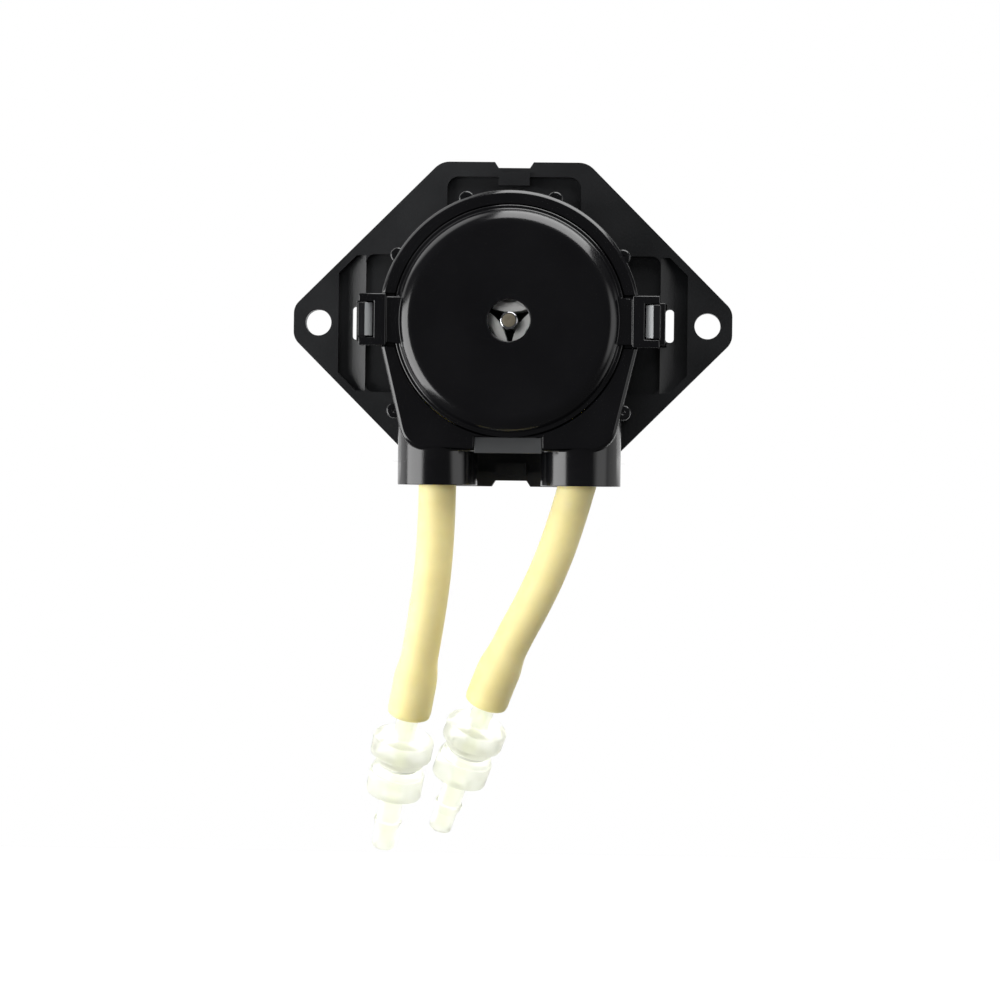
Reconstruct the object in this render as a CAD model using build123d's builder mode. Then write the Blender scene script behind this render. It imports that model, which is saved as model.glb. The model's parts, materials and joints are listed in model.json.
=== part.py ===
from build123d import *

import os
from math import cos, pi, radians, sin, tan

os.makedirs("parts", exist_ok=True)

# A peristaltic pump head in millimetres: a plate for a panel, and a head that snaps on to it.
# +X is right, +Z is up and -Y is the front. The origin is midway between the panel holes, on the
# rear face of the base plate. A level is a distance in front of that face.

# --- clearances
running_gap = 0.05  # shaft in its bushes and in the rotor, rollers on their axles, rollers to shaft
slip_gap = 0.1  # flat faces that slide or turn past each other
nest_gap = 0.2  # cover in the ring, straps in their grooves, latch arms in their slots

# --- base plate
panel_hole_spacing = 66.0
panel_hole_radius = 2.2
plate_thickness = 3.0
panel_hole_edge = 4.2  # from a panel hole's middle to the plate's tip
plate_half_height = 27.5
plate_top_half_flat = 12.4
plate_tip_half_flat = 2.7
plate_top_corner_radius = 3.5
plate_tip_corner_radius = 2.8
pocket_floor_level = 1.5
upright_pocket = (22.7, 50.0, 2.0)  # width, height, corner radius
side_pocket_height = 23.4
side_pocket_corner = 1.5
channel_rim = 1.3
channel_reach = 4.6  # outwards from the side pocket's end
channel_height = 23.0
channel_floor_level = 1.2
channel_ramp_width = 2.4
channel_ramp_rise = 1.2
notch_floor_width = 5.3
notch_mouth_width = 6.6
notch_depth = 1.0
key_width = 5.2
key_height = 2.2
key_inset = 1.8  # a key's outer face, in from the plate's edge
key_rise = 2.1
boss_radius = 6.0
boss_length = 8.0

# --- shaft and its bushes
shaft_radius = 1.5
shaft_tip_level = 20.4
shaft_tail_length = 18.0
shaft_tip_chamfer = 0.4
shaft_flat_depth = 0.35
shaft_flat_length = 4.0
bush_radius = 3.0
bush_length = 3.5
ring_thickness = 0.6
shaft_ring_radius = 2.6
ring_groove_radius = 1.2

# --- tube
tube_radius = 3.15
tube_bore_radius = 1.55
tube_level = 11.4
socket_spacing = 24.0

# --- head shell
squeezed_hose = 2.8  # thickness of the hose in the track, pressed flat by the rollers
ring_wall = 2.3
ring_edge_chamfer = 0.5
head_seat_level = plate_thickness + slip_gap
back_cover_thickness = 1.4
back_cover_hole_radius = 4.5
ring_front_level = 18.2
apron_tangent_angle = 13.5
apron_inset = 0.2  # apron's bottom from the ring's, and the window's top from the bore's
apron_corner_radius = 4.5
window_half_width = 5.75
window_depth = 1.3
socket_radius = 6.7
socket_length = 5.8  # below the apron
socket_bore_radius = 4.0
socket_mouth_radius = 4.6
socket_mouth_depth = 1.2
cover_seat_width = 0.6
cover_seat_thickness = 0.3
passage_radius = 4.0
passage_lean = 1.5  # outwards, on the way in to the track
passage_end_depth = 7.5  # in from the lowest point of the ring's bore
case_post_radius = 1.2
case_post_offset = -0.2
case_post_level = 17.0
case_post_angles = (30.0, 70.0, 110.0, 150.0)
low_post_offset = 2.5
low_post_angles = (-38.3, -141.7)
case_pin_radius = 0.55
stop_radius = 4.6
stop_length = 3.0
stop_depth = 6.8  # the stop's top, in from the socket's mouth

# --- rotor
roller_radius = 7.5
roller_length = 10.0
roller_rim = 1.6
roller_hub_radius = 2.4
roller_recess_depth = 4.0
axle_radius = 1.0
carrier_thickness = 1.5
carrier_inset = 0.65  # the carrier's rim, in from the rollers' reach
carrier_window_radius = 4.5
post_radius = 2.0
post_inset = 2.6  # a post's middle, in from the carrier's rim
rotor_screw_radius = 0.8
rotor_screw_head_radius = 1.6
rotor_screw_head_height = 0.8

# --- front cover
cover_rise = 2.5
cover_edge_radius = 3.0
dome_inset = 0.5  # from the cover's flange to the foot of its dome
flange_rise = 0.5
flange_edge_radius = 0.3
cover_hole_radius = 3.5
cover_skirt_wall = 1.6
cover_skirt_depth = 4.5
cover_face_thickness = 2.2
strap_width = 7.7
strap_rise = 1.0
strap_thickness = 2.2
ear_overlap = 1.3  # inwards from the ring
ear_reach = 3.2  # outwards from the ring
ear_width = 8.6
ear_rise = 1.8
ear_depth = 1.4
ear_window_depth = 2.5
ear_window_width = 6.0
ledge_thickness = 2.0

# --- latch arms
latch_thickness = 1.0
latch_root_width = 6.9
latch_root_thickness = 1.8
latch_root_level = 1.0
latch_root_top_level = 12.0
latch_arm_width = 5.6
latch_hook_height = 2.4
latch_hook_reach = 2.4
latch_slope_reach = 1.2
latch_slope_height = 1.0
latch_slot_reach = 2.3  # outwards from the side pocket's end
latch_slot_width = 5.6
latch_slot_corner = 0.6

# --- couplings on the tube ends, as distances along the axis from the tube's end face
barb_grip = 8.0
fitting_bore_radius = 1.0
stem_radius = 1.85
stem_length = 4.6
upper_collar_radius = 5.2
upper_collar_length = 3.3
upper_skirt_radius = 4.1
upper_skirt_length = 1.5
gasket_radius = 3.4
gasket_thickness = 0.7
lower_neck_radius = 4.3
lower_neck_length = 1.0
lower_collar_radius = 4.7
lower_collar_length = 4.0
tail_radius = 1.9
tail_length = 5.0
tail_barb_radius = 2.45
tail_barb_length = 1.8
tail_nose_radius = 1.9
tail_nose_length = 3.5

# --- the tube's way inside the head
track_end_angle = -50.0
leg_top_depth = 5.1  # in from the lowest point of the ring's bore
leg_start_depth = 2.2  # the free leg's start, in from the socket's mouth

# --- places worked out from the sizes above
plate_half_width = panel_hole_spacing / 2 + panel_hole_edge
key_middle_z = plate_half_height - key_inset - key_height / 2
back_cover_front = head_seat_level + back_cover_thickness
socket_x = socket_spacing / 2
orbit_radius = shaft_radius + running_gap + roller_radius
rotor_reach = orbit_radius + roller_radius
flat_inner_radius = rotor_reach + slip_gap
flat_outer_radius = flat_inner_radius + squeezed_hose
ring_bore_radius = flat_outer_radius + running_gap
ring_radius = ring_bore_radius + ring_wall
apron_bottom_z = apron_inset - ring_radius
window_top_z = apron_inset - ring_bore_radius
socket_bottom_z = apron_bottom_z - socket_length
stop_top_z = socket_bottom_z + stop_depth
leg_top_z = leg_top_depth - ring_bore_radius
leg_start_z = socket_bottom_z + leg_start_depth
passage_end_z = passage_end_depth - ring_bore_radius
roller_back_level = tube_level - roller_length / 2
carrier_radius = rotor_reach - carrier_inset
carrier_back_level = roller_back_level - nest_gap - carrier_thickness
carrier_front_level = roller_back_level + roller_length + nest_gap
roller_angles = (90.0, 210.0, 330.0)
post_angles = tuple(angle + 60.0 for angle in roller_angles)
ear_inner_x = ring_radius - ear_overlap
ear_outer_x = ring_radius + ear_reach
ear_window_x = ear_outer_x - ear_window_depth
channel_outer_x = ear_outer_x + channel_reach
latch_slot_x = ear_outer_x + latch_slot_reach
latch_outer_x = ear_outer_x + slip_gap
latch_inner_x = latch_outer_x - latch_thickness
latch_root_outer_x = latch_inner_x + latch_root_thickness
ledge_outer_x = latch_inner_x - slip_gap
cover_radius = ring_bore_radius - nest_gap
dome_radius = cover_radius - dome_inset
cover_front_level = ring_front_level + cover_rise
cover_back_level = cover_front_level - cover_skirt_depth
strap_front_level = ring_front_level + strap_rise
strap_back_level = strap_front_level - strap_thickness
ear_front_level = ring_front_level + ear_rise
ear_back_level = strap_back_level - ear_depth
ledge_level = ear_back_level + ledge_thickness
hook_level = ledge_level + slip_gap + running_gap

# --- route of each free tube leg, from its socket to its end
inlet_route = [
    (-socket_x, -tube_level, leg_start_z),
    (-socket_x, -tube_level, -36.6),
    (-13.9, -9.6, -52.0),
    (-16.8, -4.0, -66.1),
]
outlet_route = [
    (socket_x, -tube_level, leg_start_z),
    (9.6, -tube_level, -34.2),
    (5.6, -10.4, -44.6),
    (-0.9, -7.6, -56.4),
    (-3.7, -4.3, -64.0),
]


def level(front):
    """A plane that faces the front, this far in front of the plate's rear face."""
    return Plane.XZ.offset(front)


def on_circle(radius, angles):
    """Points on a circle about the shaft, seen from the front."""
    return [(radius * cos(radians(a)), radius * sin(radians(a))) for a in angles]


def plate_outline():
    """The base plate's eight sides."""
    half_flat, half_tip = plate_top_half_flat, plate_tip_half_flat
    quarter = [(half_flat, plate_half_height), (plate_half_width, half_tip)]
    right = quarter + [(x, -z) for x, z in reversed(quarter)]
    Polygon(*right, *[(-x, -z) for x, z in right], align=None)


def head_outline():
    """The ring, with the apron that runs off it tangentially to the sockets."""
    Circle(ring_radius)
    angle = radians(apron_tangent_angle)
    start = Vector(ring_radius * cos(angle), -ring_radius * sin(angle))
    corner_x = start.X - (start.Y - apron_bottom_z) * tan(angle)
    corners = [(start.X, start.Y), (corner_x, apron_bottom_z)]
    Polygon(*corners, *[(-x, z) for x, z in reversed(corners)], align=None)


def turned(axis_plane, steps, mode=Mode.ADD):
    """Cylinders and cones along an axis: (start, end, start radius, end radius) each."""
    for start, end, start_radius, end_radius in steps:
        with BuildSketch(axis_plane.offset(start)) as first:
            Circle(start_radius)
        with BuildSketch(axis_plane.offset(end)) as last:
            Circle(end_radius)
        if start_radius == end_radius:
            extrude(first.sketch, amount=end - start, dir=axis_plane.z_dir, mode=mode)
        else:
            loft([first.sketch.face(), last.sketch.face()], mode=mode)


def save(part, name):
    """Label a finished piece and write it to its own file."""
    part.label = name
    export_step(part, f"parts/{name}.step")


# ------------------------------------------------------------------ base plate
with BuildPart() as channel_space:
    with BuildSketch(level(channel_floor_level)):
        plate_outline()
        offset(amount=-channel_rim, kind=Kind.INTERSECTION)
        with Locations(((channel_outer_x + ear_outer_x) / 2, 0)):
            Rectangle(channel_reach, channel_height, mode=Mode.INTERSECT)
    extrude(amount=plate_thickness - channel_floor_level)
    with BuildSketch(Plane.XY):
        Polygon(
            (ear_outer_x, -channel_floor_level),
            (ear_outer_x + channel_ramp_width, -channel_floor_level),
            (ear_outer_x, -channel_floor_level - channel_ramp_rise),
            align=None,
        )
    extrude(amount=channel_height / 2, both=True, mode=Mode.SUBTRACT)

with BuildPart() as base_plate:
    with BuildSketch(level(0)) as plate_face:
        plate_outline()
        middle_x = (plate_top_half_flat + plate_half_width) / 2
        fillet(
            plate_face.vertices().filter_by(lambda v: abs(v.X) < middle_x),
            plate_top_corner_radius,
        )
        fillet(
            plate_face.vertices().filter_by(lambda v: abs(v.Y) < plate_tip_half_flat + 0.1),
            plate_tip_corner_radius,
        )
        with Locations((panel_hole_spacing / 2, 0), (-panel_hole_spacing / 2, 0)):
            Circle(panel_hole_radius, mode=Mode.SUBTRACT)
        for side in (1, -1):
            notch_floor_z = plate_half_height - notch_depth
            Polygon(
                (-notch_mouth_width / 2, side * plate_half_height),
                (-notch_floor_width / 2, side * notch_floor_z),
                (notch_floor_width / 2, side * notch_floor_z),
                (notch_mouth_width / 2, side * plate_half_height),
                align=None,
                mode=Mode.SUBTRACT,
            )
    extrude(amount=plate_thickness)
    with BuildSketch(level(0)):
        Circle(boss_radius)
    extrude(amount=-boss_length)
    with BuildSketch(level(pocket_floor_level)):
        RectangleRounded(*upright_pocket)
        RectangleRounded(2 * ear_outer_x, side_pocket_height, side_pocket_corner)
    extrude(amount=plate_thickness - pocket_floor_level, mode=Mode.SUBTRACT)
    add(channel_space.part, mode=Mode.SUBTRACT)
    add(channel_space.part.mirror(Plane.YZ), mode=Mode.SUBTRACT)
    with BuildSketch(level(pocket_floor_level)):
        with Locations((0, key_middle_z), (0, -key_middle_z)):
            Rectangle(key_width, key_height)
    extrude(amount=key_rise)
    # a blind pocket for each latch root, and a slot right through beside it
    with BuildSketch(level(latch_root_level - nest_gap)):
        for side in (1, -1):
            with Locations((side * (latch_inner_x + latch_root_outer_x) / 2, 0)):
                Rectangle(
                    latch_root_thickness + 2 * nest_gap, latch_root_width + 2 * nest_gap
                )
    extrude(amount=plate_thickness, mode=Mode.SUBTRACT)
    with BuildSketch(level(0)):
        for side in (1, -1):
            with Locations((side * (latch_root_outer_x + latch_slot_x) / 2, 0)):
                RectangleRounded(
                    latch_slot_x - latch_root_outer_x, latch_slot_width, latch_slot_corner
                )
    extrude(amount=plate_thickness, mode=Mode.SUBTRACT)
    with BuildSketch(level(pocket_floor_level)):
        Circle(bush_radius)
    extrude(amount=-(pocket_floor_level + boss_length), mode=Mode.SUBTRACT)
save(base_plate.part, "base_plate")


# ------------------------------------------------------------------ latch arms
def latch_arm(side):
    """A springy leaf on one side of the plate, with a hook that points inwards."""
    top = hook_level + latch_hook_height
    tip_x = latch_outer_x - latch_hook_reach
    with BuildPart() as arm:
        with BuildSketch(level(latch_root_level)):
            with Locations((side * (latch_inner_x + latch_root_outer_x) / 2, 0)):
                Rectangle(latch_root_thickness, latch_root_width)
        extrude(amount=latch_root_top_level - latch_root_level)
        with BuildSketch(level(latch_root_level)):
            with Locations((side * (latch_inner_x + latch_outer_x) / 2, 0)):
                Rectangle(latch_thickness, latch_arm_width)
        extrude(amount=top - latch_root_level)
        with BuildSketch(Plane.XY):
            Polygon(
                (side * latch_outer_x, -hook_level),
                (side * tip_x, -hook_level),
                (side * tip_x, -(top - latch_slope_height)),
                (side * (tip_x + latch_slope_reach), -top),
                (side * latch_outer_x, -top),
                align=None,
            )
        extrude(amount=latch_arm_width / 2, both=True)
    return arm.part


save(latch_arm(1), "latch_arm_right")
save(latch_arm(-1), "latch_arm_left")

# ------------------------------------------------------------------ shaft and bushes
bush_planes = {
    "shaft_bush_front": level(pocket_floor_level - bush_length),
    "shaft_bush_rear": level(-boss_length),
}
for name, plane in bush_planes.items():
    with BuildPart() as bush:
        with BuildSketch(plane):
            Circle(bush_radius)
            Circle(shaft_radius + running_gap, mode=Mode.SUBTRACT)
        extrude(amount=bush_length)
    save(bush.part, name)

ring_planes = (
    level(pocket_floor_level + slip_gap),
    level(-boss_length - slip_gap - ring_thickness),
)
with BuildPart() as drive_shaft:
    with BuildSketch(level(-shaft_tail_length)):
        Circle(shaft_radius)
    extrude(amount=shaft_tail_length + shaft_tip_level)
    chamfer(drive_shaft.edges().group_by(Axis.Y)[0], shaft_tip_chamfer)
    with BuildSketch(level(-shaft_tail_length)):
        with Locations((0, shaft_radius)):
            Rectangle(2 * shaft_radius, 2 * shaft_flat_depth)
    extrude(amount=shaft_flat_length, mode=Mode.SUBTRACT)
    with BuildSketch(*ring_planes):
        Circle(2 * shaft_radius)
        Circle(ring_groove_radius, mode=Mode.SUBTRACT)
    extrude(amount=ring_thickness, mode=Mode.SUBTRACT)
save(drive_shaft.part, "drive_shaft")

with BuildPart() as shaft_rings:
    with BuildSketch(*ring_planes):
        Circle(shaft_ring_radius)
        Circle(ring_groove_radius, mode=Mode.SUBTRACT)
    extrude(amount=ring_thickness)
save(shaft_rings.part, "shaft_rings")

# ------------------------------------------------------------------ head shell
case_posts = on_circle(ring_radius + case_post_offset, case_post_angles)
case_posts += on_circle(ring_radius + low_post_offset, low_post_angles)

with BuildPart() as back_cover:
    with BuildSketch(level(head_seat_level)) as back_face:
        head_outline()
        low_corners = back_face.vertices().filter_by(lambda v: v.Y < apron_bottom_z + 0.1)
        fillet(low_corners, apron_corner_radius)
        with Locations(*case_posts):
            Circle(case_post_radius)
        Circle(back_cover_hole_radius, mode=Mode.SUBTRACT)
    extrude(amount=back_cover_thickness)
    with BuildSketch(level(head_seat_level)):
        with Locations(*case_posts):
            Circle(case_pin_radius)
    extrude(amount=back_cover_thickness, mode=Mode.SUBTRACT)
save(back_cover.part, "back_cover")

with BuildPart() as housing:
    with BuildSketch(level(back_cover_front)) as ring_face:
        head_outline()
        low_corners = ring_face.vertices().filter_by(lambda v: v.Y < apron_bottom_z + 0.1)
        fillet(low_corners, apron_corner_radius)
    extrude(amount=ring_front_level - back_cover_front)
    chamfer(housing.faces().sort_by(Axis.Y)[0].edges(), ring_edge_chamfer)
    with BuildSketch(level(back_cover_front)):
        with Locations(*case_posts):
            Circle(case_post_radius)
    extrude(amount=case_post_level - back_cover_front)
    with BuildSketch(Plane.XY.offset(socket_bottom_z)):
        with Locations((socket_x, -tube_level), (-socket_x, -tube_level)):
            Circle(socket_radius)
    extrude(amount=apron_bottom_z + socket_radius - socket_bottom_z)
    with BuildSketch(level(back_cover_front)):
        Circle(ring_bore_radius)
    extrude(amount=ring_front_level - back_cover_front, mode=Mode.SUBTRACT)
    with BuildSketch(level(cover_back_level - slip_gap)):
        Circle(ring_bore_radius)
        Circle(ring_bore_radius - cover_seat_width, mode=Mode.SUBTRACT)
    extrude(amount=-cover_seat_thickness)
    with BuildSketch(level(back_cover_front)):
        with Locations(*case_posts):
            Circle(case_pin_radius)
    extrude(amount=case_post_level - back_cover_front, mode=Mode.SUBTRACT)
    # the way of the tube from each socket into the track
    passage_start = stop_top_z + passage_radius / 4
    for side in (1, -1):
        with BuildSketch(level(roller_back_level + nest_gap)):
            passage_end = (side * (socket_x + passage_lean), passage_end_z)
            with Locations((side * socket_x, passage_start), passage_end):
                Circle(passage_radius)
            make_hull()
        extrude(amount=roller_length - 2 * nest_gap, mode=Mode.SUBTRACT)
    for side in (1, -1):
        mouth = Plane(origin=(side * socket_x, -tube_level, socket_bottom_z), z_dir=(0, 0, 1))
        stop_start = stop_top_z - stop_length - socket_bottom_z
        steps = [
            (0.0, socket_mouth_depth, socket_mouth_radius, socket_bore_radius),
            (0.0, passage_start - socket_bottom_z, socket_bore_radius, socket_bore_radius),
            (stop_start, stop_start + stop_length, stop_radius, stop_radius),
        ]
        turned(mouth, steps, mode=Mode.SUBTRACT)
    # grooves for the cover's straps
    with BuildSketch(level(strap_back_level - slip_gap)):
        for side in (1, -1):
            with Locations((side * ring_radius, 0)):
                Rectangle(4 * ring_wall, ear_width + 2 * slip_gap)
    extrude(amount=ring_front_level - strap_back_level + slip_gap, mode=Mode.SUBTRACT)
    # window in the apron, with a floor that slopes up to the front
    with BuildSketch(Plane.YZ):
        Polygon(
            (-ring_front_level, window_top_z),
            (-ring_front_level + window_depth, window_top_z),
            (-ring_front_level, apron_bottom_z - ring_edge_chamfer),
            align=None,
        )
    extrude(amount=window_half_width, both=True, mode=Mode.SUBTRACT)
save(housing.part, "housing")

with BuildPart() as case_pins:
    with BuildSketch(level(head_seat_level)):
        with Locations(*case_posts):
            Circle(case_pin_radius)
    extrude(amount=case_post_level - head_seat_level)
save(case_pins.part, "case_pins")

with BuildPart() as tube_stops:
    with BuildSketch(Plane.XY.offset(stop_top_z - stop_length)):
        with Locations((socket_x, -tube_level), (-socket_x, -tube_level)):
            Circle(stop_radius)
            Circle(tube_radius, mode=Mode.SUBTRACT)
    extrude(amount=stop_length)
save(tube_stops.part, "tube_stops")

# ------------------------------------------------------------------ tube in the head
flat_width = roller_length - 7 * nest_gap
track_start = radians(180.0 - track_end_angle)
track_plane = Plane(
    origin=(0, -tube_level, 0),
    x_dir=(cos(track_start), 0, sin(track_start)),
    z_dir=(-sin(track_start), 0, cos(track_start)),
)
with BuildPart() as pump_tube:
    with BuildSketch(track_plane):
        with Locations(((flat_inner_radius + flat_outer_radius) / 2, 0)):
            RectangleRounded(squeezed_hose, flat_width, 0.49 * squeezed_hose)
    revolve(axis=Axis.Y, revolution_arc=180.0 - 2 * track_end_angle)
    with BuildSketch(Plane.XY.offset(leg_start_z)):
        with Locations((socket_x, -tube_level), (-socket_x, -tube_level)):
            Circle(tube_radius)
    extrude(amount=leg_top_z - leg_start_z)
    with BuildSketch(Plane.XY.offset(leg_start_z)):
        with Locations((socket_x, -tube_level), (-socket_x, -tube_level)):
            Circle(tube_bore_radius)
    extrude(amount=stop_top_z - leg_start_z, mode=Mode.SUBTRACT)
save(pump_tube.part, "pump_tube")


# ------------------------------------------------------------------ free tube legs
def arc_radii(route):
    """The largest radius that fits each corner of a route."""
    points = [Vector(*point) for point in route]
    radii = []
    for before, corner, after in zip(points, points[1:], points[2:]):
        turn = radians((corner - before).get_angle(after - corner))
        shorter = min((corner - before).length, (after - corner).length)
        radii.append(0.45 * shorter / tan(turn / 2))
    return radii


def tube_leg(route, name):
    """A round hose along a route of straight runs joined by arcs."""
    radii = arc_radii(route)
    with BuildPart() as leg:
        with BuildLine() as path:
            FilletPolyline(*route, radius=radii)
        with BuildSketch(Plane(origin=route[0], z_dir=path.wire() % 0)):
            Circle(tube_radius)
            Circle(tube_bore_radius, mode=Mode.SUBTRACT)
        sweep()
    length = path.wire().length
    section = leg_section_area()
    print(name, "radii", [round(r, 1) for r in radii], "length", round(length, 2))
    print(name, "volume", round(leg.part.volume, 1), "section x length", round(section * length, 1))
    save(leg.part, name)


def leg_section_area():
    """The area of the hose's wall, cut across."""
    return pi * (tube_radius**2 - tube_bore_radius**2)


tube_leg(inlet_route, "inlet_tube")
tube_leg(outlet_route, "outlet_tube")


# ------------------------------------------------------------------ couplings
def coupling(route, name):
    """The two halves of an inline coupling and the gasket between them."""
    end = Vector(*route[-1])
    axis_plane = Plane(origin=end, z_dir=end - Vector(*route[-2]))
    collar_start = stem_length
    skirt_start = collar_start + upper_collar_length
    gasket_start = skirt_start + upper_skirt_length
    neck_start = gasket_start + gasket_thickness
    ring_start = neck_start + lower_neck_length
    tail_start = ring_start + lower_collar_length
    barb_start = tail_start + tail_length
    nose_start = barb_start + tail_barb_length
    tip = nose_start + tail_nose_length
    upper_steps = [
        (-barb_grip, 0.0, tube_bore_radius, tube_bore_radius),
        (0.0, stem_length, stem_radius, stem_radius),
        (collar_start, skirt_start, upper_collar_radius, upper_collar_radius),
        (skirt_start, gasket_start, upper_skirt_radius, upper_skirt_radius),
    ]
    lower_steps = [
        (neck_start, ring_start, lower_neck_radius, lower_neck_radius),
        (ring_start, tail_start, lower_collar_radius, lower_collar_radius),
        (tail_start, barb_start, tail_radius, tail_radius),
        (barb_start, nose_start, tail_barb_radius, tail_nose_radius),
        (nose_start, tip, tail_nose_radius, tail_nose_radius),
    ]
    gasket_steps = [(gasket_start, neck_start, gasket_radius, gasket_radius)]
    spans = {"upper": upper_steps, "gasket": gasket_steps, "lower": lower_steps}
    for piece, steps in spans.items():
        start, finish = steps[0][0], steps[-1][1]
        with BuildPart() as half:
            turned(axis_plane, steps)
            bore = [(start, finish, fitting_bore_radius, fitting_bore_radius)]
            turned(axis_plane, bore, mode=Mode.SUBTRACT)
        save(half.part, f"{name}_coupling_{piece}")


coupling(inlet_route, "inlet")
coupling(outlet_route, "outlet")

# ------------------------------------------------------------------ rotor
axle_points = on_circle(orbit_radius, roller_angles)
post_points = on_circle(carrier_radius - post_inset, post_angles)
carrier_front_face = carrier_front_level + carrier_thickness

with BuildPart() as rotor_back_plate:
    with BuildSketch(level(carrier_back_level)):
        Circle(carrier_radius)
        Circle(shaft_radius + running_gap, mode=Mode.SUBTRACT)
        with Locations(*axle_points):
            Circle(axle_radius, mode=Mode.SUBTRACT)
    extrude(amount=carrier_thickness)
save(rotor_back_plate.part, "rotor_back_plate")

with BuildPart() as rotor_posts:
    with BuildSketch(level(carrier_back_level + carrier_thickness)):
        with Locations(*post_points):
            Circle(post_radius)
            Circle(rotor_screw_radius, mode=Mode.SUBTRACT)
    extrude(amount=carrier_front_level - carrier_back_level - carrier_thickness)
save(rotor_posts.part, "rotor_posts")

with BuildPart() as rotor_front_plate:
    with BuildSketch(level(carrier_front_level)):
        Circle(carrier_radius)
        Circle(carrier_window_radius, mode=Mode.SUBTRACT)
        with Locations(*axle_points):
            Circle(axle_radius, mode=Mode.SUBTRACT)
        with Locations(*post_points):
            Circle(rotor_screw_radius, mode=Mode.SUBTRACT)
    extrude(amount=carrier_thickness)
    with BuildSketch(level(carrier_front_face - rotor_screw_head_height)):
        with Locations(*post_points):
            Circle(rotor_screw_head_radius)
    extrude(amount=rotor_screw_head_height, mode=Mode.SUBTRACT)
save(rotor_front_plate.part, "rotor_front_plate")

with BuildPart() as rotor_screws:
    with BuildSketch(level(carrier_back_level + carrier_thickness)):
        with Locations(*post_points):
            Circle(rotor_screw_radius)
    extrude(amount=carrier_front_face - carrier_back_level - carrier_thickness)
    with BuildSketch(level(carrier_front_face - rotor_screw_head_height)):
        with Locations(*post_points):
            Circle(rotor_screw_head_radius)
    extrude(amount=rotor_screw_head_height)
save(rotor_screws.part, "rotor_screws")

with BuildPart() as roller_axles:
    with BuildSketch(level(carrier_back_level)):
        with Locations(*axle_points):
            Circle(axle_radius)
    extrude(amount=carrier_front_face - carrier_back_level)
save(roller_axles.part, "roller_axles")

for number, point in enumerate(axle_points, start=1):
    with BuildPart() as roller:
        with BuildSketch(level(roller_back_level)):
            with Locations(point):
                Circle(roller_radius)
                Circle(axle_radius + running_gap, mode=Mode.SUBTRACT)
        extrude(amount=roller_length)
        recess_levels = (
            roller_back_level,
            roller_back_level + roller_length - roller_recess_depth,
        )
        with BuildSketch(*[level(recess) for recess in recess_levels]):
            with Locations(point):
                Circle(roller_radius - roller_rim)
                Circle(roller_hub_radius, mode=Mode.SUBTRACT)
        extrude(amount=roller_recess_depth, mode=Mode.SUBTRACT)
    save(roller.part, f"roller_{number}")

# ------------------------------------------------------------------ front cover
with BuildPart() as front_cover:
    with BuildSketch(level(cover_back_level)):
        Circle(dome_radius)
    extrude(amount=cover_skirt_depth)
    fillet(front_cover.edges().group_by(Axis.Y)[0], cover_edge_radius)
    with BuildSketch(level(cover_back_level)):
        Circle(cover_radius)
    extrude(amount=ring_front_level + flange_rise - cover_back_level)
    flange_edges = front_cover.edges().filter_by(
        lambda e: e.geom_type == GeomType.CIRCLE and abs(e.radius - cover_radius) < 0.001
    )
    fillet(flange_edges.group_by(Axis.Y)[0], flange_edge_radius)
    with BuildSketch(level(strap_back_level)):
        Rectangle(2 * ear_outer_x, strap_width)
    extrude(amount=strap_thickness)
    for side in (1, -1):
        with BuildSketch(level(strap_back_level)):
            with Locations((side * (ear_inner_x + ear_outer_x) / 2, 0)):
                Rectangle(ear_outer_x - ear_inner_x, ear_width)
        extrude(amount=ear_front_level - strap_back_level)
        ear_drop_x = ring_radius + nest_gap
        with BuildSketch(level(ear_back_level)):
            with Locations((side * (ear_drop_x + ear_outer_x) / 2, 0)):
                Rectangle(ear_outer_x - ear_drop_x, ear_width)
        extrude(amount=ear_depth)
        with BuildSketch(level(ledge_level)):
            with Locations((side * (ear_window_x + ear_outer_x) / 2, 0)):
                Rectangle(ear_outer_x - ear_window_x, ear_window_width)
        extrude(amount=ear_front_level - ledge_level, mode=Mode.SUBTRACT)
        with BuildSketch(level(ear_back_level)):
            with Locations((side * (ledge_outer_x + ear_outer_x) / 2, 0)):
                Rectangle(ear_outer_x - ledge_outer_x, ear_window_width)
        extrude(amount=ear_front_level - ear_back_level, mode=Mode.SUBTRACT)
    with BuildSketch(level(cover_back_level)):
        Circle(cover_radius - cover_skirt_wall)
    extrude(amount=cover_skirt_depth - cover_face_thickness, mode=Mode.SUBTRACT)
    with BuildSketch(level(cover_back_level)):
        Circle(cover_hole_radius)
    extrude(amount=cover_skirt_depth, mode=Mode.SUBTRACT)
save(front_cover.part, "front_cover")

print("ring", round(ring_radius, 3), "bore", round(ring_bore_radius, 3))
print("shaft turns per rotor turn", round(2 * (shaft_radius + roller_radius) / shaft_radius, 4))
print("roller turns per rotor turn", round(-(shaft_radius + 2 * roller_radius) / roller_radius, 4))
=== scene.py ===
# %% [markdown]
# # A peristaltic pump head
# The CAD model is loaded first. It holds every piece at its real size.

import json
from math import cos, pi, radians, sin, tan

import bmesh
import bpy
from mathutils import Matrix, Vector


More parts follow.
